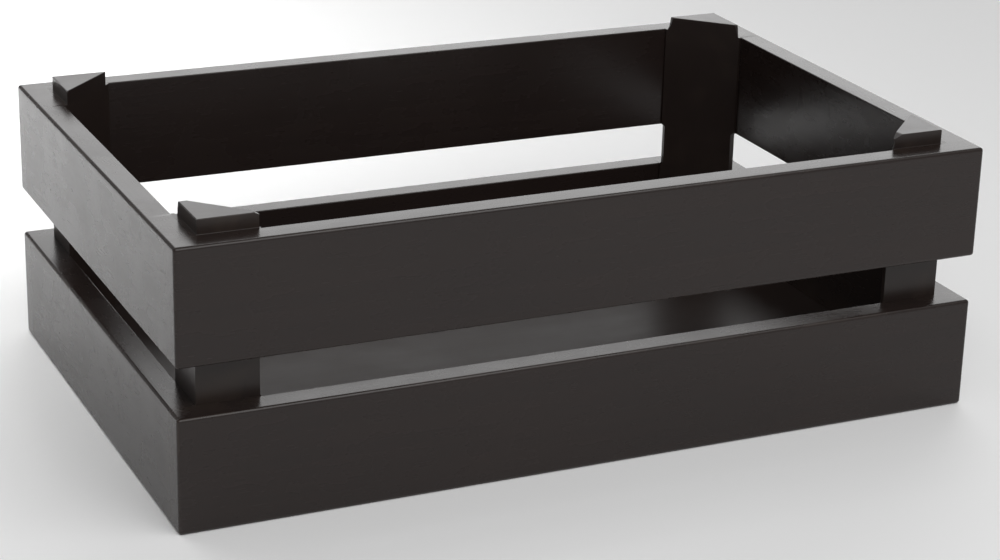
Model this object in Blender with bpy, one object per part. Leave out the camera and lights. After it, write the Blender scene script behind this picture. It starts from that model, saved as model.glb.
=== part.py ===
"""A slatted stacking crate: two rings of boards on four corner posts, over a panel floor.

The posts are three-cornered sticks inside the corners. They carry both rings, leave a slot between
them, and stand above the rim as tips. A tip is set in a little from the boards, so that the next
crate's lower ring drops over it freely.
X runs along the crate, Y across it and Z up. The origin is the middle of the footprint.
"""
import math

import bpy
import bmesh
from mathutils import Matrix, Vector

# The crate, in metres
LENGTH = 0.290
WIDTH = 0.185
RING_HEIGHT = 0.0395
SLOT = 0.0165
BOARD = 0.009
ARRIS = 0.0012

# The posts
POST_LEG = 0.022
POST_EDGE = 0.0008
TIP_HEIGHT = 0.005
TIP_INSET = 0.0012
TIP_CHAMFER = 0.002
TIP_CHAMFER_DROP = 0.003
TIP_ARRIS = 0.0006

# The floor, held in a groove round the lower ring
FLOOR_UNDERSIDE = 0.006
FLOOR_THICKNESS = 0.003
GROOVE_DEPTH = 0.004

# The pins that fix every board end to its post
PIN_DIAMETER = 0.0016
PIN_LENGTH = 0.014
PIN_SET = 0.002
PIN_SIDES = 10

# Heights of the pins above the lower edge of their ring, clear of the floor panel
PIN_HEIGHTS = {"low": 0.015, "high": 0.031}

# Clearance between pieces that touch
FIT = 0.0003

QUARTER_TURN = math.pi / 2

RIM = 2 * RING_HEIGHT + SLOT
INNER_X = LENGTH / 2 - BOARD
INNER_Y = WIDTH / 2 - BOARD
FLOOR_TOP = FLOOR_UNDERSIDE + FLOOR_THICKNESS
RING_BASES = {"lower": 0.0, "upper": RING_HEIGHT + SLOT}
CORNERS = {
    "front_left": (-1, -1),
    "front_right": (1, -1),
    "back_left": (-1, 1),
    "back_right": (1, 1),
}

# Linear base colour, roughness and metallic value
BOARD_LACQUER = ((0.021, 0.017, 0.016), 0.34, 0.0)
POST_LACQUER = ((0.019, 0.015, 0.015), 0.38, 0.0)
FLOOR_LACQUER = ((0.017, 0.014, 0.015), 0.28, 0.0)
STEEL = ((0.42, 0.41, 0.40), 0.45, 1.0)


def clear_scene():
    for thing in list(bpy.data.objects):
        bpy.data.objects.remove(thing, do_unlink=True)


def new_collection(name):
    collection = bpy.data.collections.new(name)
    bpy.context.scene.collection.children.link(collection)
    return collection


def new_material(name, finish):
    colour, roughness, metallic = finish
    material = bpy.data.materials.new(name)
    material.use_nodes = True
    shader = material.node_tree.nodes["Principled BSDF"]
    shader.inputs["Base Color"].default_value = (*colour, 1.0)
    shader.inputs["Roughness"].default_value = roughness
    shader.inputs["Metallic"].default_value = metallic
    return material


def block(low, high):
    """A box between two corners."""
    low, high = Vector(low), Vector(high)
    shape = bmesh.new()
    bmesh.ops.create_cube(shape, size=1.0)
    bmesh.ops.scale(shape, vec=high - low, verts=shape.verts)
    bmesh.ops.translate(shape, vec=(low + high) / 2, verts=shape.verts)
    return shape


def ease(shape, edges, radius):
    """Round some edges of a shape."""
    bmesh.ops.bevel(
        shape,
        geom=edges,
        offset=radius,
        offset_type="OFFSET",
        segments=2,
        profile=0.5,
        affect="EDGES",
    )


def saw(shape, point, normal):
    """Cut a shape along a plane, drop the side that the normal points to, and close the cut."""
    whole = shape.verts[:] + shape.edges[:] + shape.faces[:]
    cut = bmesh.ops.bisect_plane(
        shape, geom=whole, plane_co=point, plane_no=normal, clear_outer=True
    )
    outline = [part for part in cut["geom_cut"] if isinstance(part, bmesh.types.BMEdge)]
    bmesh.ops.contextual_create(shape, geom=outline)


def to_mesh(shape, name):
    bmesh.ops.recalc_face_normals(shape, faces=shape.faces)
    mesh = bpy.data.meshes.new(name)
    shape.to_mesh(mesh)
    shape.free()
    return mesh


def place(name, mesh, collection, location=(0.0, 0.0, 0.0), rotation=(0.0, 0.0, 0.0)):
    thing = bpy.data.objects.new(name, mesh)
    thing.location = location
    thing.rotation_euler = rotation
    collection.objects.link(thing)
    return thing


def cut_with(thing, cutter):
    cut = thing.modifiers.new(cutter.name, "BOOLEAN")
    cut.operation = "DIFFERENCE"
    cut.solver = "EXACT"
    cut.object = cutter


def lies_at(edge, axis, value):
    """True if both ends of an edge have the given coordinate on the given axis."""
    return all(abs(vert.co[axis] - value) < FIT / 10 for vert in edge.verts)


def runs_along(edge):
    """The axis, 0 to 2, that an edge of a block runs along."""
    run = edge.verts[1].co - edge.verts[0].co
    return max(range(3), key=lambda axis: abs(run[axis]))


def board_shape(length):
    """A board along X with its outer face at -Y, standing on Z = 0."""
    return block((-length / 2, 0.0, 0.0), (length / 2, BOARD, RING_HEIGHT))


def long_board(name):
    """A full-length board: the arrises of its outer face and of both its ends are eased."""
    shape = board_shape(LENGTH)
    outside = [edge for edge in shape.edges if lies_at(edge, 1, 0.0) or runs_along(edge) == 1]
    ease(shape, outside, ARRIS)
    return to_mesh(shape, name)


def short_board(name):
    """A board between two long ones: only its two outer long arrises are eased."""
    shape = board_shape(2 * (INNER_Y - FIT))
    outside = [edge for edge in shape.edges if lies_at(edge, 1, 0.0) and runs_along(edge) == 0]
    ease(shape, outside, ARRIS)
    return to_mesh(shape, name)


def raise_tip(shape):
    """Draw a post's tip up out of its top face, leaving a narrow shoulder along both legs."""
    for leg in (0, 1):
        point, normal = Vector(), Vector()
        point[leg] = TIP_INSET
        normal[leg] = 1.0
        whole = shape.verts[:] + shape.edges[:] + shape.faces[:]
        bmesh.ops.bisect_plane(shape, geom=whole, plane_co=point, plane_no=normal)
    tops = [face for face in shape.faces if all(lies_at(edge, 2, RIM) for edge in face.edges)]
    tip_face = max(tops, key=lambda face: face.calc_area())
    raised = bmesh.ops.extrude_face_region(shape, geom=[tip_face])
    corners = [part for part in raised["geom"] if isinstance(part, bmesh.types.BMVert)]
    bmesh.ops.translate(shape, vec=(0.0, 0.0, TIP_HEIGHT), verts=corners)
    bmesh.ops.delete(shape, geom=[tip_face], context="FACES_ONLY")


def post_shape(name):
    """A post with its right angle on the Z axis and its legs along +X and +Y."""
    foot = FLOOR_TOP + FIT
    top = RIM + TIP_HEIGHT
    shape = block((0.0, 0.0, foot), (POST_LEG, POST_LEG, RIM))
    saw(shape, (POST_LEG, POST_EDGE, 0.0), (1.0, 1.0, 0.0))
    raise_tip(shape)
    for leg in (0, 1):
        point = Vector((0.0, 0.0, top - TIP_CHAMFER_DROP))
        point[leg] = POST_LEG
        normal = Vector((0.0, 0.0, TIP_CHAMFER))
        normal[leg] = TIP_CHAMFER_DROP
        saw(shape, point, normal)
    ease(shape, [edge for edge in shape.edges if lies_at(edge, 2, top)], TIP_ARRIS)
    return to_mesh(shape, name)


def pin_places():
    """Yields the name, position and direction of every pin. A direction points into the crate."""
    run = POST_LEG / 2
    for ring, base in RING_BASES.items():
        for corner, (side_x, side_y) in CORNERS.items():
            for level, rise in PIN_HEIGHTS.items():
                height = base + rise
                head_y = WIDTH / 2 - PIN_SET
                head_x = LENGTH / 2 - PIN_SET
                through_long = Vector((side_x * (INNER_X - run), side_y * head_y, height))
                through_short = Vector((side_x * head_x, side_y * (INNER_Y - run), height))
                yield f"pin_{ring}_{corner}_long_{level}", through_long, Vector((0.0, -side_y, 0.0))
                yield f"pin_{ring}_{corner}_short_{level}", through_short, Vector((-side_x, 0.0, 0.0))


def pin_shape(clearance):
    """A headless pin along +Z from the origin, or the hole for one."""
    shape = bmesh.new()
    bmesh.ops.create_cone(
        shape,
        cap_ends=True,
        segments=PIN_SIDES,
        radius1=PIN_DIAMETER / 2 + clearance,
        radius2=PIN_DIAMETER / 2 + clearance,
        depth=PIN_LENGTH + 2 * clearance,
    )
    bmesh.ops.translate(shape, vec=(0.0, 0.0, PIN_LENGTH / 2), verts=shape.verts)
    return shape


def turn_to(direction):
    return Vector((0.0, 0.0, 1.0)).rotation_difference(direction)


def make_pin_holes(collection):
    """One cutter with a hole for every pin."""
    holes = bmesh.new()
    for _, position, direction in pin_places():
        hole = pin_shape(FIT)
        bmesh.ops.transform(
            hole,
            matrix=Matrix.Translation(position) @ turn_to(direction).to_matrix().to_4x4(),
            verts=hole.verts,
        )
        single = to_mesh(hole, "pin_hole")
        holes.from_mesh(single)
        bpy.data.meshes.remove(single)
    return place("pin_holes", to_mesh(holes, "pin_holes"), collection)


def make_groove(collection):
    """The cutter for the groove that the floor sits in."""
    reach_x = INNER_X + GROOVE_DEPTH
    reach_y = INNER_Y + GROOVE_DEPTH
    shape = block(
        (-reach_x, -reach_y, FLOOR_UNDERSIDE - FIT),
        (reach_x, reach_y, FLOOR_TOP + FIT),
    )
    return place("floor_groove", to_mesh(shape, "floor_groove"), collection)


def hide_cutter(cutter):
    cutter.hide_render = True
    cutter.display_type = "WIRE"


def make_boards(collection, groove, holes):
    sides = {
        "front": (long_board, (0.0, -WIDTH / 2), 0),
        "right": (short_board, (LENGTH / 2, 0.0), 1),
        "back": (long_board, (0.0, WIDTH / 2), 2),
        "left": (short_board, (-LENGTH / 2, 0.0), 3),
    }
    for ring, base in RING_BASES.items():
        for side, (make, (x, y), quarters) in sides.items():
            name = f"{ring}_{side}_board"
            turn = (0.0, 0.0, quarters * QUARTER_TURN)
            board = place(name, make(name), collection, (x, y, base), turn)
            board.data.materials.append(new_material(f"{name}_lacquer", BOARD_LACQUER))
            cut_with(board, holes)
            if ring == "lower":
                cut_with(board, groove)


def make_posts(collection, holes):
    quarters = {"front_left": 0, "front_right": 1, "back_right": 2, "back_left": 3}
    for corner, (side_x, side_y) in CORNERS.items():
        name = f"{corner}_post"
        spot = (side_x * (INNER_X - FIT), side_y * (INNER_Y - FIT), 0.0)
        turn = (0.0, 0.0, quarters[corner] * QUARTER_TURN)
        post = place(name, post_shape(name), collection, spot, turn)
        post.data.materials.append(new_material(f"{name}_lacquer", POST_LACQUER))
        cut_with(post, holes)


def make_floor(collection):
    half_x = INNER_X + GROOVE_DEPTH - FIT
    half_y = INNER_Y + GROOVE_DEPTH - FIT
    shape = block((-half_x, -half_y, FLOOR_UNDERSIDE), (half_x, half_y, FLOOR_TOP))
    floor = place("floor_panel", to_mesh(shape, "floor_panel"), collection)
    floor.data.materials.append(new_material("floor_panel_lacquer", FLOOR_LACQUER))


def make_pins(collection):
    mesh = to_mesh(pin_shape(0.0), "pin")
    mesh.shade_smooth()
    mesh.set_sharp_from_angle(angle=0.7)
    mesh.materials.append(new_material("pin_steel", STEEL))
    for name, position, direction in pin_places():
        place(name, mesh, collection, position, turn_to(direction).to_euler())


def main():
    clear_scene()
    parts = new_collection("slatted_crate")
    cutters = new_collection("cutters")
    holes = make_pin_holes(cutters)
    groove = make_groove(cutters)
    hide_cutter(holes)
    hide_cutter(groove)
    make_boards(parts, groove, holes)
    make_posts(parts, holes)
    make_floor(parts)
    make_pins(parts)


main()
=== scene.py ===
"""The looks of the slatted stacking crate: lacquered boards, posts and floor, in a pale studio.

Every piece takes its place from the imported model. Boards, posts and the floor panel are remade with eased
arrises, close joints and hand-cut tips. The pins inside the wood keep their shape and get a wire material.
"""

import math

import bmesh
import bpy
from mathutils import Matrix, Vector, noise


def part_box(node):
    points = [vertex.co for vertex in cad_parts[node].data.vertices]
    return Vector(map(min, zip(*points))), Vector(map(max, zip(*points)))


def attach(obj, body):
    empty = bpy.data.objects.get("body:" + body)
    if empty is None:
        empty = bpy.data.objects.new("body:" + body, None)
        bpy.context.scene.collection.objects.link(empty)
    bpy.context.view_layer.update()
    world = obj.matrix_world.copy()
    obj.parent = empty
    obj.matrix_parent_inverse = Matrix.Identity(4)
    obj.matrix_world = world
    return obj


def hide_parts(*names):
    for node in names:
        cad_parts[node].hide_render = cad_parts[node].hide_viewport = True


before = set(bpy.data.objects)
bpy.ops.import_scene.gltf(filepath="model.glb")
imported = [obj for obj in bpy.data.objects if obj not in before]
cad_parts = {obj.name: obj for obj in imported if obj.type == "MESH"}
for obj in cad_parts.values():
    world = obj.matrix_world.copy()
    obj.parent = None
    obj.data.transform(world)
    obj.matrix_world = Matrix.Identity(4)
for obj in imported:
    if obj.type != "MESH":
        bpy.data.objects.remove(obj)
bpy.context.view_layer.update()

RINGS = ("lower", "upper")
LONG_SIDES = ("front", "back")
SHORT_SIDES = ("left", "right")
CORNERS = {
    "front_left": (-1, -1),
    "front_right": (1, -1),
    "back_left": (-1, 1),
    "back_right": (1, 1),
}

# Axes
X, Y, Z = 0, 1, 2

# Sizes in metres
OUTER_ARRIS = 0.0012
INNER_ARRIS = 0.0004
HAIRLINE = 0.00002
PIN_CLEARANCE = 0.00005
GROOVE_CLEARANCE = 0.0001

# How deep the sanding of the arrises goes, and roughly how long each of its hollows is. WOBBLE_INSET is the
# share of that depth that comes off before the noise is added.
BOARD_WOBBLE = 0.00004
BOARD_WOBBLE_LENGTH = 0.012
POST_WOBBLE = BOARD_WOBBLE / 2
POST_WOBBLE_LENGTH = 0.008
WOBBLE_INSET = 0.3

# Extra edge loops on a board: how far in from its upper and lower edges, and how far apart along it
SUPPORT = 0.0022
CUT_STEP = 0.005

# Facets round each kind of eased edge
OUTER_STEPS = 4
INNER_STEPS = 3
TIP_STEPS = 3
FILLET_STEPS = 2
PANEL_STEPS = 2

# Points on an edge from HARD_CORNER up aren't sanded, and an edge from SHARP_EDGE up is shaded sharp
HARD_CORNER = math.radians(50)
SHARP_EDGE = math.radians(38)

# How close two points or values have to be to count as one
SLICE_TOLERANCE = 1e-7
WELD_DISTANCE = 1e-6
MATCH_TOLERANCE = 1e-5

# The posts and their tips, in metres
POST_EDGE = 0.0008
POST_TRIM = 0.0009
TRIM_FADE = 0.0006
TIP_FLARE = 0.0012
TIP_ARRIS = 0.0003
TIP_FILLET = 0.00015
TIP_LEAST_END = 0.0003

# How far each tip was cut back by hand from the short and from the long board beside it
TIP_INSETS = {
    "front_left": (0.0014, 0.0004),
    "front_right": (0.0026, 0.0004),
    "back_left": (0.0011, 0.0020),
    "back_right": (0.0010, 0.0010),
}

# How far the sharp ends of each tip are drawn in: at the rim, just above it, and at the top, then how
# far below the top that last chamfer starts. The first four are for the end along X, the others along Y.
TIP_ENDS = {
    "front_left": ((0.0004, 0.0005, 0.0018, 0.0007), (0.0020, 0.0026, 0.0034, 0.0030)),
    "front_right": ((0.0004, 0.0005, 0.0033, 0.0014), (0.0008, 0.0010, 0.0022, 0.0015)),
    "back_left": ((0.0002, 0.0013, 0.0015, 0.0005), (0.0002, 0.0004, 0.0009, 0.0006)),
    "back_right": ((0.0004, 0.0012, 0.0018, 0.0035), (0.0005, 0.0008, 0.0015, 0.0036)),
}


# ---------------------------------------------------------------- mesh tools


def block(low, high):
    """A box between two corners."""
    low, high = Vector(low), Vector(high)
    shape = bmesh.new()
    bmesh.ops.create_cube(shape, size=1.0)
    bmesh.ops.scale(shape, vec=high - low, verts=shape.verts)
    bmesh.ops.translate(shape, vec=(low + high) / 2, verts=shape.verts)
    return shape


def everything(shape):
    return shape.verts[:] + shape.edges[:] + shape.faces[:]


def edge_middle(edge):
    return (edge.verts[0].co + edge.verts[1].co) / 2


def near(a, b):
    return abs(a - b) < MATCH_TOLERANCE


def slice_at(shape, axis, value):
    """Add a loop of edges across a shape, without changing its form."""
    point, normal = Vector(), Vector()
    point[axis] = value
    normal[axis] = 1.0
    bmesh.ops.bisect_plane(
        shape,
        geom=everything(shape),
        plane_co=point,
        plane_no=normal,
        dist=SLICE_TOLERANCE,
    )


def ease(shape, edges, radius, steps):
    """Round some edges of a shape."""
    bmesh.ops.bevel(
        shape,
        geom=edges,
        offset=radius,
        offset_type="OFFSET",
        segments=steps,
        profile=0.5,
        affect="EDGES",
        clamp_overlap=True,
    )


def to_object(shape, name):
    bmesh.ops.recalc_face_normals(shape, faces=shape.faces)
    mesh = bpy.data.meshes.new(name)
    shape.to_mesh(mesh)
    shape.free()
    thing = bpy.data.objects.new(name, mesh)
    bpy.context.scene.collection.objects.link(thing)
    return thing


def cut_away(thing, cutter):
    """Take one object's shape out of another's mesh, for good."""
    cut = thing.modifiers.new("cut", "BOOLEAN")
    cut.operation = "DIFFERENCE"
    cut.solver = "EXACT"
    cut.object = cutter
    graph = bpy.context.evaluated_depsgraph_get()
    mesh = bpy.data.meshes.new_from_object(thing.evaluated_get(graph))
    thing.modifiers.clear()
    old = thing.data
    thing.data = mesh
    bpy.data.meshes.remove(old)
    mesh.name = thing.name


def shade(thing):
    """Smooth the arrises, keep real corners sharp, and let the big flat faces set the normals."""
    thing.data.shade_smooth()
    shape = bmesh.new()
    shape.from_mesh(thing.data)
    shape.normal_update()
    for edge in shape.edges:
        edge.smooth = edge.calc_face_angle(0.0) < SHARP_EDGE
    shape.to_mesh(thing.data)
    shape.free()
    weighted = thing.modifiers.new("even_normals", "WEIGHTED_NORMAL")
    weighted.mode = "FACE_AREA"
    weighted.keep_sharp = True


def roundness(normal):
    """0 where a surface is square to the crate's axes, 1 halfway round an arris or on a post's third side."""
    square = max(abs(part) for part in normal)
    return min(1.0, (1.0 - square) / (1.0 - math.sqrt(0.5)))


def is_rounded(vert):
    """Whether a point lies on an eased edge, away from any hard corner."""
    return all(edge.calc_face_angle(0.0) < HARD_CORNER for edge in vert.link_edges)


def wobble_arrises(shape, amount, length):
    """Sand the rounded edges down a little, deeper in some places than in others."""
    shape.normal_update()
    moves = []
    for vert in shape.verts:
        if is_rounded(vert):
            lift = amount * roundness(vert.normal) * noise.noise(vert.co / length)
            moves.append((vert, vert.normal * min(0.0, lift - amount * WOBBLE_INSET)))
    for vert, move in moves:
        vert.co += move


def mark_arrises(thing):
    """Store each point's roundness, for the painted highlight along the arrises in the lacquer."""
    mesh = thing.data
    mark = mesh.attributes.new("arris", "FLOAT", "POINT")
    for vert in mesh.vertices:
        mark.data[vert.index].value = roundness(vert.normal)


# ---------------------------------------------------------------- boards


def board_box(node, joint):
    """A board's corners, with a short board let out to meet the long boards."""
    low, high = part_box(node)
    if any(side in node for side in SHORT_SIDES):
        low.y, high.y = -joint.y + HAIRLINE, joint.y - HAIRLINE
    return low, high


def pick_arrises(shape, low, high, run, across, outward, between_posts):
    """A board's outer edges, to be well rounded, and its inner ones between the posts, to be just broken."""
    is_long = run == X
    outer = high[across] if outward > 0 else low[across]
    inner = low[across] if outward > 0 else high[across]
    round_edges, broken_edges = [], []
    for edge in shape.edges:
        middle = edge_middle(edge)
        span = edge.verts[1].co - edge.verts[0].co
        goes = max(range(3), key=lambda axis: abs(span[axis]))
        at_end = near(abs(middle[run]), high[run])
        at_face = near(middle.z, low.z) or near(middle.z, high.z)
        if goes == run and at_face and near(middle[across], outer):
            round_edges.append(edge)
        elif is_long and goes == Z and at_end and near(middle[across], outer):
            round_edges.append(edge)
        elif is_long and goes == across and at_end and at_face:
            round_edges.append(edge)
        elif goes == run and at_face and near(middle[across], inner):
            if abs(middle[run]) < between_posts:
                broken_edges.append(edge)
    return round_edges, broken_edges


def board_shape(low, high, run, across, outward, joint, leg):
    """A board with its arrises eased, and loops of edges that keep its faces flat.

    run and across are the axes along the board and through its thickness. leg is how far a post covers it.
    """
    shape = block(low, high)
    between_posts = joint[run] - leg
    for sign in (-1, 1):
        slice_at(shape, run, sign * between_posts)
    if run == X:
        for sign in (-1, 1):
            slice_at(shape, X, sign * joint.x)
    round_edges, broken_edges = pick_arrises(shape, low, high, run, across, outward, between_posts)
    ease(shape, broken_edges, INNER_ARRIS, INNER_STEPS)
    round_edges = [edge for edge in round_edges if edge.is_valid]
    ease(shape, round_edges, OUTER_ARRIS, OUTER_STEPS)
    count = int((high[run] - low[run]) / CUT_STEP)
    for step in range(1, count):
        slice_at(shape, run, low[run] + (high[run] - low[run]) * step / count)
    for height in (low.z + SUPPORT, (low.z + high.z) / 2, high.z - SUPPORT):
        slice_at(shape, Z, height)
    wobble_arrises(shape, BOARD_WOBBLE, BOARD_WOBBLE_LENGTH)
    return shape


def make_board(node, joint, leg, holes, groove):
    low, high = board_box(node, joint)
    side = node.split("_")[1]
    run, across = (X, Y) if side in LONG_SIDES else (Y, X)
    outward = 1 if side in ("back", "right") else -1
    shape = board_shape(low, high, run, across, outward, joint, leg)
    board = to_object(shape, f"lacquered_{node}")
    cut_away(board, holes)
    if node.startswith("lower"):
        cut_away(board, groove)
    mark_arrises(board)
    shade(board)
    return board


# ---------------------------------------------------------------- posts


def section(shape, height, insets, reach, diagonal):
    """The corners of a post at one height: its right angle, then its two cut-off sharp ends in turn.

    reach is how far the ends go along X and Y. Along the third side, x + y is diagonal.
    """
    x_end = min(reach[0], diagonal - insets[1] - TIP_LEAST_END)
    y_end = min(reach[1], diagonal - insets[0] - TIP_LEAST_END)
    corners = (
        (insets[0], insets[1]),
        (x_end, insets[1]),
        (x_end, diagonal - x_end),
        (diagonal - y_end, y_end),
        (insets[0], y_end),
    )
    return [shape.verts.new((x, y, height)) for x, y in corners]


def skin(shape, lower, upper, on_third_side=()):
    """The side faces between two sections. Extra points on the third side's upper edge join its face."""
    count = len(lower)
    for first in range(count):
        after = (first + 1) % count
        extra = on_third_side if first == 2 else ()
        shape.faces.new((lower[first], lower[after], upper[after], *extra, upper[first]))


def ease_tip(shape, insets, rim, top):
    """Break the tip's top edges, and fill the angle at its foot with a fine line of lacquer."""
    upper, foot = [], []
    for edge in shape.edges:
        middle = edge_middle(edge)
        if near(edge.verts[0].co.z, top) and near(edge.verts[1].co.z, top):
            upper.append(edge)
        elif near(edge.verts[0].co.z, rim) and near(edge.verts[1].co.z, rim):
            outside = near(middle.x, insets[0]) and middle.y > insets[1]
            outside = outside or (near(middle.y, insets[1]) and middle.x > insets[0])
            if outside:
                foot.append(edge)
    ease(shape, upper, TIP_ARRIS, TIP_STEPS)
    foot = [edge for edge in foot if edge.is_valid]
    ease(shape, foot, TIP_FILLET, FILLET_STEPS)


def tip_trim(end, height, tip_height):
    """How far one end of a tip is drawn in, at a height above the rim."""
    at_rim, waist, at_top, drop = end
    chamfer_start = tip_height - drop
    if height < TIP_FLARE:
        return at_rim + (waist - at_rim) * height / TIP_FLARE
    if height < chamfer_start:
        return waist
    return waist + (at_top - waist) * (height - chamfer_start) / drop


def body_sections(shape, foot, rim, slot, leg, diagonal):
    """A post's sections up to the rim. Its sharp edges are trimmed a little in the slot."""
    body = []
    for height, trim in (
        (foot, 0.0),
        (slot[0] - TRIM_FADE, 0.0),
        (slot[0] + TRIM_FADE, POST_TRIM),
        (slot[1] - TRIM_FADE, POST_TRIM),
        (slot[1] + TRIM_FADE, 0.0),
        (rim, 0.0),
    ):
        body.append(section(shape, height, (0.0, 0.0), (leg - trim, leg - trim), diagonal))
    return body


def tip_sections(shape, corner, rim, top, leg, diagonal):
    """A tip's sections, from the rim to the top."""
    ends, insets = TIP_ENDS[corner], TIP_INSETS[corner]
    tip = []
    for height in sorted({rim, rim + TIP_FLARE, top, *(top - end[3] for end in ends)}):
        reach = [leg - tip_trim(end, height - rim, top - rim) for end in ends]
        tip.append(section(shape, height, insets, reach, diagonal))
    return tip


def turn_into_corner(shape, low, high, corner):
    """Take a post, made with its right angle at the lower left, into its own corner."""
    side_x, side_y = CORNERS[corner]
    turn = Matrix.Diagonal((-side_x, -side_y, 1.0, 1.0))
    spot = Vector((high.x if side_x > 0 else low.x, high.y if side_y > 0 else low.y, 0.0))
    bmesh.ops.transform(shape, matrix=Matrix.Translation(spot) @ turn, verts=shape.verts)
    if side_x * side_y < 0:
        bmesh.ops.reverse_faces(shape, faces=shape.faces)


def post_shape(low, high, corner, rim, slot):
    """A three-cornered post, trimmed at its sharp edges in the slot and on its tip."""
    leg = high.x - low.x
    diagonal = leg + POST_EDGE
    shape = bmesh.new()
    body = body_sections(shape, low.z, rim, slot, leg, diagonal)
    tip = tip_sections(shape, corner, rim, high.z, leg, diagonal)

    base, brim = tip[0], body[-1]
    for lower, upper in zip(body[:-2], body[1:-1]):
        skin(shape, lower, upper)
    skin(shape, body[-2], brim, (base[3], base[2]))
    for lower, upper in zip(tip, tip[1:]):
        skin(shape, lower, upper)
    shape.faces.new(tuple(reversed(body[0])))
    shape.faces.new(tip[-1])
    # The shoulder, round the tip's foot
    shape.faces.new((*brim[:3], base[2], base[1], base[0], base[4], base[3], *brim[3:]))
    ease_tip(shape, TIP_INSETS[corner], rim, high.z)
    turn_into_corner(shape, low, high, corner)
    wobble_arrises(shape, POST_WOBBLE, POST_WOBBLE_LENGTH)
    return shape


def make_post(corner, rim, slot, joint, holes):
    node = f"{corner}_post"
    side_x, side_y = CORNERS[corner]
    low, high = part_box(node)
    spot = Vector((side_x * (joint.x - HAIRLINE), side_y * (joint.y - HAIRLINE), 0.0))
    nudge = Vector((0.0, 0.0, 0.0))
    for axis, side in ((X, side_x), (Y, side_y)):
        nudge[axis] = spot[axis] - (high[axis] if side > 0 else low[axis])
    shape = post_shape(low + nudge, high + nudge, corner, rim, slot)
    post = to_object(shape, f"lacquered_{node}")
    cut_away(post, holes)
    mark_arrises(post)
    shade(post)
    return post


# ---------------------------------------------------------------- floor and cutters


def make_floor_panel():
    low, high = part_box("floor_panel")
    shape = block(low, high)
    ease(shape, shape.edges[:], INNER_ARRIS, PANEL_STEPS)
    panel = to_object(shape, "lacquered_floor_panel")
    mark_arrises(panel)
    shade(panel)
    return panel


def make_groove():
    low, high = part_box("floor_panel")
    margin = Vector((GROOVE_CLEARANCE,) * 3)
    return to_object(block(low - margin, high + margin), "groove_cutter")


def make_pin_holes(pins):
    """One cutter with a hole for every pin, a little wider than the pin."""
    holes = bmesh.new()
    for pin in pins:
        holes.from_mesh(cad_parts[pin].data)
    bmesh.ops.remove_doubles(holes, verts=holes.verts, dist=WELD_DISTANCE)
    bmesh.ops.recalc_face_normals(holes, faces=holes.faces)
    holes.normal_update()
    for vert in holes.verts:
        vert.co += vert.normal * PIN_CLEARANCE
    return to_object(holes, "pin_cutter")


# ---------------------------------------------------------------- materials


class Nodes:
    """A short way to lay out a material's nodes."""

    def __init__(self, name):
        self.material = bpy.data.materials.new(name)
        self.material.use_nodes = True
        self.tree = self.material.node_tree
        self.shader = self.tree.nodes["Principled BSDF"]

    def add(self, kind, **settings):
        node = self.tree.nodes.new(kind)
        for key, value in settings.items():
            setattr(node, key, value)
        return node

    def link(self, source, target):
        self.tree.links.new(source, target)

    def coordinates(self, stretch, offset):
        place = self.add("ShaderNodeTexCoord")
        mapping = self.add("ShaderNodeMapping")
        mapping.inputs["Location"].default_value = offset
        mapping.inputs["Scale"].default_value = stretch
        self.link(place.outputs["Object"], mapping.inputs["Vector"])
        return mapping.outputs["Vector"]

    def noise(self, vector, scale, detail=3.0, rough=0.55, distortion=0.0):
        texture = self.add("ShaderNodeTexNoise")
        texture.inputs["Scale"].default_value = scale
        texture.inputs["Detail"].default_value = detail
        texture.inputs["Roughness"].default_value = rough
        texture.inputs["Distortion"].default_value = distortion
        self.link(vector, texture.inputs["Vector"])
        return texture.outputs["Fac"]

    def ramp(self, factor, low, high, start=0.0, end=1.0):
        """Map a value from one range to another, held at the ends."""
        mapped = self.add("ShaderNodeMapRange")
        mapped.clamp = True
        for key, value in (
            ("From Min", low),
            ("From Max", high),
            ("To Min", start),
            ("To Max", end),
        ):
            mapped.inputs[key].default_value = value
        self.link(factor, mapped.inputs["Value"])
        return mapped.outputs["Result"]

    def mix(self, factor, first, second):
        """Mix two colours; each is a colour or another node's output."""
        mixer = self.add("ShaderNodeMix", data_type="RGBA")
        self.link(factor, mixer.inputs["Factor"])
        for value, key in ((first, "A"), (second, "B")):
            socket = [s for s in mixer.inputs if s.name == key and s.type == "RGBA"][0]
            if isinstance(value, tuple):
                socket.default_value = (*value, 1.0)
            else:
                self.link(value, socket)
        return [s for s in mixer.outputs if s.type == "RGBA"][0]

    def math(self, operation, first, second):
        step = self.add("ShaderNodeMath", operation=operation)
        for value, socket in ((first, step.inputs[0]), (second, step.inputs[1])):
            if isinstance(value, float):
                socket.default_value = value
            else:
                self.link(value, socket)
        return step.outputs["Value"]

    def bump(self, height, strength, distance, normal=None):
        bump = self.add("ShaderNodeBump")
        bump.inputs["Strength"].default_value = strength
        bump.inputs["Distance"].default_value = distance
        self.link(height, bump.inputs["Height"])
        if normal is not None:
            self.link(normal, bump.inputs["Normal"])
        return bump.outputs["Normal"]


# Linear colours of the lacquer over the wood
LACQUER = (0.0150, 0.0100, 0.0088)
LACQUER_WARM = (0.0190, 0.0120, 0.0100)
# A lighter brown laid along the arrises and over the posts' third sides, as a painted highlight
PAINTED_EDGE_HIGHLIGHT = (0.040, 0.028, 0.021)
PORE = (0.0070, 0.0052, 0.0048)
LACQUER_IOR = 1.42

# How rough the lacquer is on each kind of piece, and how far the pores show through it
BOARD_FINISH = (0.26, 0.35)
POST_FINISH = (0.30, 0.6)
PANEL_FINISH = (0.36, 0.25)

# Where each kind of piece starts in the noise, so that no two pieces look alike
BOARD_SEED = 1
POST_SEED = 11
PANEL_SEED = 17

# How fine each pattern of the lacquer is, per metre: along and across the grain, or all round
STREAKS = (9.0, 210.0)
PORES = (120.0, 1500.0)
PATCHES = 14.0
SMUDGES = 46.0
SKIN = 900.0

# How deep each pattern's bump is, in metres
STREAK_DEPTH = 0.0004
PORE_DEPTH = 0.00006
SKIN_DEPTH = 0.00005

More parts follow.
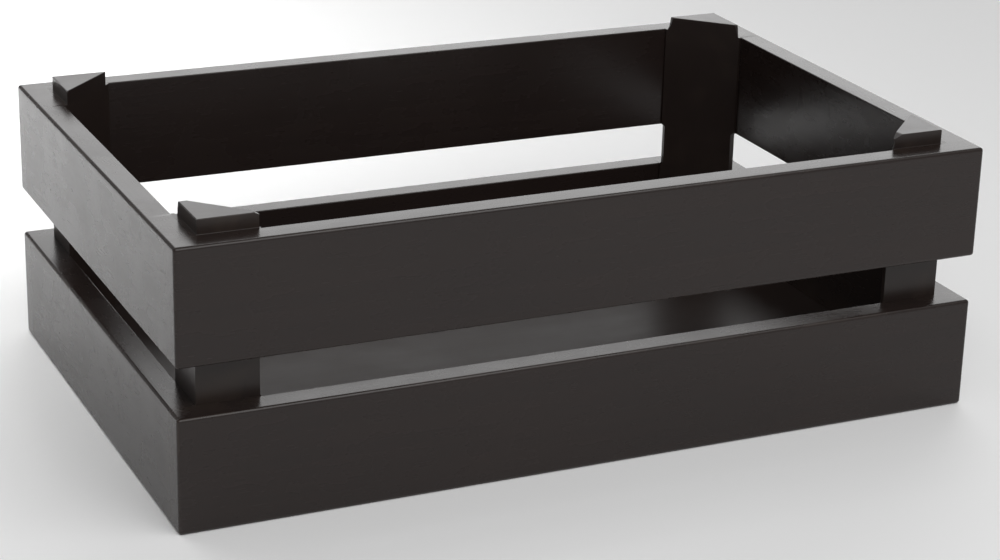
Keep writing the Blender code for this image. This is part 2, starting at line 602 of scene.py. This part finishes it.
WIRE_DARK = (0.40, 0.39, 0.38)
WIRE_PALE = (0.52, 0.51, 0.50)
WIRE_SCORES = 2400.0
WIRE_SCORE_DEPTH = 0.00002
GROUND_DARK = (0.87, 0.87, 0.87)
GROUND_PALE = (0.90, 0.90, 0.90)
GROUND_ROUGHNESS = 0.7

EVEN = (1.0, 1.0, 1.0)
ORIGIN = (0.0, 0.0, 0.0)


def lacquer(name, grain_axis, seed, rough, open_grain):
    """Black-brown satin lacquer over fine straight-grained wood.

    grain_axis is the way the grain runs, and open_grain is how far the pores show, from 0 to 1.
    """
    m = Nodes(name)
    offset = (0.37 * seed, 0.61 * seed, 0.83 * seed)

    def stretched(along, crossways):
        scale = [crossways] * 3
        scale[grain_axis] = along
        return m.coordinates(tuple(scale), offset)

    streaks = m.noise(stretched(*STREAKS), 1.0, detail=5.0, rough=0.62, distortion=0.3)
    pores = m.noise(stretched(*PORES), 1.0, detail=2.0, rough=0.5)
    patches = m.noise(m.coordinates(EVEN, offset), PATCHES, detail=2.0, rough=0.5)
    smudges = m.noise(m.coordinates(EVEN, offset), SMUDGES, detail=3.0, rough=0.6, distortion=0.4)
    skin = m.noise(m.coordinates(EVEN, offset), SKIN, detail=1.0, rough=0.5)
    arris = m.add("ShaderNodeAttribute", attribute_name="arris").outputs["Fac"]

    streak_share = m.ramp(streaks, 0.40, 0.68)
    patch_share = m.ramp(patches, 0.35, 0.70)
    warm = m.math("MULTIPLY", m.math("ADD", streak_share, patch_share), 0.42)
    base = m.mix(warm, LACQUER, LACQUER_WARM)
    pore_share = m.ramp(pores, 0.66, 0.74, 0.0, open_grain)
    base = m.mix(pore_share, base, PORE)
    # Painted highlight: the lighter brown along the arrises, patchy with the smudges
    edge_highlight = m.math("MULTIPLY", arris, m.ramp(smudges, 0.46, 0.66, 0.10, 0.60))
    base = m.mix(edge_highlight, base, PAINTED_EDGE_HIGHLIGHT)
    m.link(base, m.shader.inputs["Base Color"])

    gloss = m.ramp(smudges, 0.30, 0.72, rough - 0.025, rough + 0.035)
    gloss = m.math("ADD", gloss, m.math("MULTIPLY", streak_share, 0.02))
    gloss = m.math("ADD", gloss, m.math("MULTIPLY", pore_share, 0.12))
    m.link(gloss, m.shader.inputs["Roughness"])
    m.shader.inputs["IOR"].default_value = LACQUER_IOR

    normal = m.bump(streaks, 0.04 + 0.06 * open_grain, STREAK_DEPTH)
    normal = m.bump(m.ramp(pores, 0.60, 0.76, 1.0, 0.0), 0.12 * open_grain, PORE_DEPTH, normal)
    normal = m.bump(skin, 0.03, SKIN_DEPTH, normal)
    m.link(normal, m.shader.inputs["Normal"])
    return m.material


def pin_steel():
    """Drawn steel wire, faintly scored."""
    m = Nodes("pin_wire")
    scores = m.noise(m.coordinates(EVEN, ORIGIN), WIRE_SCORES, detail=3.0, rough=0.6)
    colour = m.mix(m.ramp(scores, 0.3, 0.7), WIRE_DARK, WIRE_PALE)
    m.link(colour, m.shader.inputs["Base Color"])
    m.link(m.ramp(scores, 0.3, 0.7, 0.32, 0.5), m.shader.inputs["Roughness"])
    m.link(m.bump(scores, 0.15, WIRE_SCORE_DEPTH), m.shader.inputs["Normal"])
    m.shader.inputs["Metallic"].default_value = 1.0
    return m.material


def studio_floor_material():
    m = Nodes("pale_floor")
    patches = m.noise(m.coordinates(EVEN, ORIGIN), 2.0, detail=2.0, rough=0.5)
    tone = m.ramp(patches, 0.3, 0.7)
    m.link(m.mix(tone, GROUND_DARK, GROUND_PALE), m.shader.inputs["Base Color"])
    m.shader.inputs["Roughness"].default_value = GROUND_ROUGHNESS
    return m.material


# ---------------------------------------------------------------- studio

# The camera, from a fit to the crate's edges: its place in metres, its turns in degrees, and its lens and
# sensor in millimetres
CAMERA_PLACE = (-0.3583, -0.7858, 0.3592)
CAMERA_YAW = 24.86
CAMERA_PITCH = 20.65
CAMERA_ROLL = 1.49
CAMERA_LENS = 92.2
CAMERA_SENSOR = 36.0
CAMERA_NEAREST = 0.05
CAMERA_FARTHEST = 20.0

# Each soft light: its place, what it points at, its size, its power in watts and its spread in degrees.
# A spread of less than 180 is a grid over the light, which keeps it in a pool.
SOFTBOXES = {
    "pool_light": ((-0.36, 0.52, 0.85), (-0.36, 0.54, 0.0), (0.4, 0.4), 2.8, 80.0),
    "front_light": ((0.0, -1.20, 1.30), (0.0, -0.20, 0.0), (1.6, 1.0), 14.0, 180.0),
    "top_light": ((0.46, -0.42, 1.10), (0.0, 0.0, 0.08), (0.36, 0.36), 1.6, 180.0),
}

# The lit backdrop that the rim mirrors, behind the crate and to its right. It starts and is full where the
# cosine of the angle to its middle has these values.
BACKDROP_GLOW_TOWARDS = Vector((0.47, 0.80, 0.37))
BACKDROP_STARTS = 0.88
BACKDROP_IS_FULL = 0.97
BACKDROP_LEVEL = 2.1
ROOM_LEVEL = 0.34

GROUND_CELLS = 8
GROUND_REACH = 6.0


def look_along(thing, position, yaw, pitch, roll):
    """Place a camera. yaw turns from +Y towards +X, pitch looks down, roll leans."""
    forward = Vector(
        (math.sin(yaw) * math.cos(pitch), math.cos(yaw) * math.cos(pitch), -math.sin(pitch))
    )
    right = Vector((math.cos(yaw), -math.sin(yaw), 0.0))
    up = right.cross(forward)
    leaning_right = right * math.cos(roll) + up * math.sin(roll)
    leaning_up = up * math.cos(roll) - right * math.sin(roll)
    axes = Matrix((leaning_right, leaning_up, -forward)).transposed()
    thing.matrix_world = Matrix.Translation(position) @ axes.to_4x4()


def make_camera():
    data = bpy.data.cameras.new("camera")
    data.sensor_width = CAMERA_SENSOR
    data.lens = CAMERA_LENS
    data.clip_start = CAMERA_NEAREST
    data.clip_end = CAMERA_FARTHEST
    camera = bpy.data.objects.new("camera", data)
    bpy.context.scene.collection.objects.link(camera)
    look_along(
        camera,
        Vector(CAMERA_PLACE),
        math.radians(CAMERA_YAW),
        math.radians(CAMERA_PITCH),
        math.radians(CAMERA_ROLL),
    )
    bpy.context.scene.camera = camera


def make_softbox(name, position, target, size, power, spread):
    data = bpy.data.lights.new(name, "AREA")
    data.shape = "RECTANGLE"
    data.size, data.size_y = size
    data.energy = power
    data.spread = math.radians(spread)
    light = bpy.data.objects.new(name, data)
    bpy.context.scene.collection.objects.link(light)
    light.location = position
    aim = Vector(target) - Vector(position)
    light.rotation_euler = aim.to_track_quat("-Z", "Y").to_euler()
    light.visible_camera = False


def make_ground():
    shape = bmesh.new()
    bmesh.ops.create_grid(shape, x_segments=GROUND_CELLS, y_segments=GROUND_CELLS, size=GROUND_REACH)
    ground = to_object(shape, "studio_floor")
    ground.data.materials.append(studio_floor_material())


def make_backdrop():
    """A grey room with one bright, soft-edged glow."""
    world = bpy.data.worlds.new("studio")
    world.use_nodes = True
    tree = world.node_tree
    back = tree.nodes["Background"]
    where = tree.nodes.new("ShaderNodeTexCoord")
    gradient = tree.nodes.new("ShaderNodeVectorMath")
    gradient.operation = "DOT_PRODUCT"
    gradient.inputs[1].default_value = BACKDROP_GLOW_TOWARDS.normalized()
    tree.links.new(where.outputs["Generated"], gradient.inputs[0])
    level = tree.nodes.new("ShaderNodeMapRange")
    level.interpolation_type = "SMOOTHSTEP"
    level.inputs["From Min"].default_value = BACKDROP_STARTS
    level.inputs["From Max"].default_value = BACKDROP_IS_FULL
    level.inputs["To Min"].default_value = ROOM_LEVEL
    level.inputs["To Max"].default_value = BACKDROP_LEVEL
    tree.links.new(gradient.outputs["Value"], level.inputs["Value"])
    tree.links.new(level.outputs["Result"], back.inputs["Strength"])
    back.inputs["Color"].default_value = (1.0, 1.0, 1.0, 1.0)
    bpy.context.scene.world = world


def make_studio():
    make_ground()
    make_backdrop()
    for name, settings in SOFTBOXES.items():
        make_softbox(name, *settings)
    bpy.context.scene.view_settings.view_transform = "Standard"


# ---------------------------------------------------------------- the crate


def dress(piece, node, material):
    piece.data.materials.clear()
    piece.data.materials.append(material)
    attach(piece, "root")
    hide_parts(node)


def finish_boards(joint, leg, holes, groove):
    seed = BOARD_SEED
    for ring in RINGS:
        for side in LONG_SIDES + SHORT_SIDES:
            node = f"{ring}_{side}_board"
            board = make_board(node, joint, leg, holes, groove)
            grain = X if side in LONG_SIDES else Y
            dress(board, node, lacquer(f"{node}_lacquer", grain, seed, *BOARD_FINISH))
            seed += 1


def finish_posts(rim, slot, joint, holes):
    for number, corner in enumerate(CORNERS):
        post = make_post(corner, rim, slot, joint, holes)
        finish = lacquer(f"{corner}_post_lacquer", Z, POST_SEED + number, *POST_FINISH)
        dress(post, f"{corner}_post", finish)


def finish_pins(pins):
    steel = pin_steel()
    for pin in pins:
        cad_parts[pin].data.materials.clear()
        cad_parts[pin].data.materials.append(steel)


def main():
    front_low, front_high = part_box("upper_front_board")
    left_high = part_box("upper_left_board")[1]
    lower_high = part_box("lower_front_board")[1]
    joint = Vector((-left_high.x, -front_high.y, 0.0))
    rim = front_high.z
    slot = (lower_high.z, front_low.z)
    post_low, post_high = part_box("front_left_post")
    leg = post_high.x - post_low.x
    pins = sorted(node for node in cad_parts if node.startswith("pin_"))
    holes = make_pin_holes(pins)
    groove = make_groove()

    finish_boards(joint, leg, holes, groove)
    finish_posts(rim, slot, joint, holes)
    panel = make_floor_panel()
    finish = lacquer("floor_panel_lacquer", X, PANEL_SEED, *PANEL_FINISH)
    dress(panel, "floor_panel", finish)
    finish_pins(pins)
    for cutter in (holes, groove):
        bpy.data.objects.remove(cutter)


make_camera()
make_studio()
main()
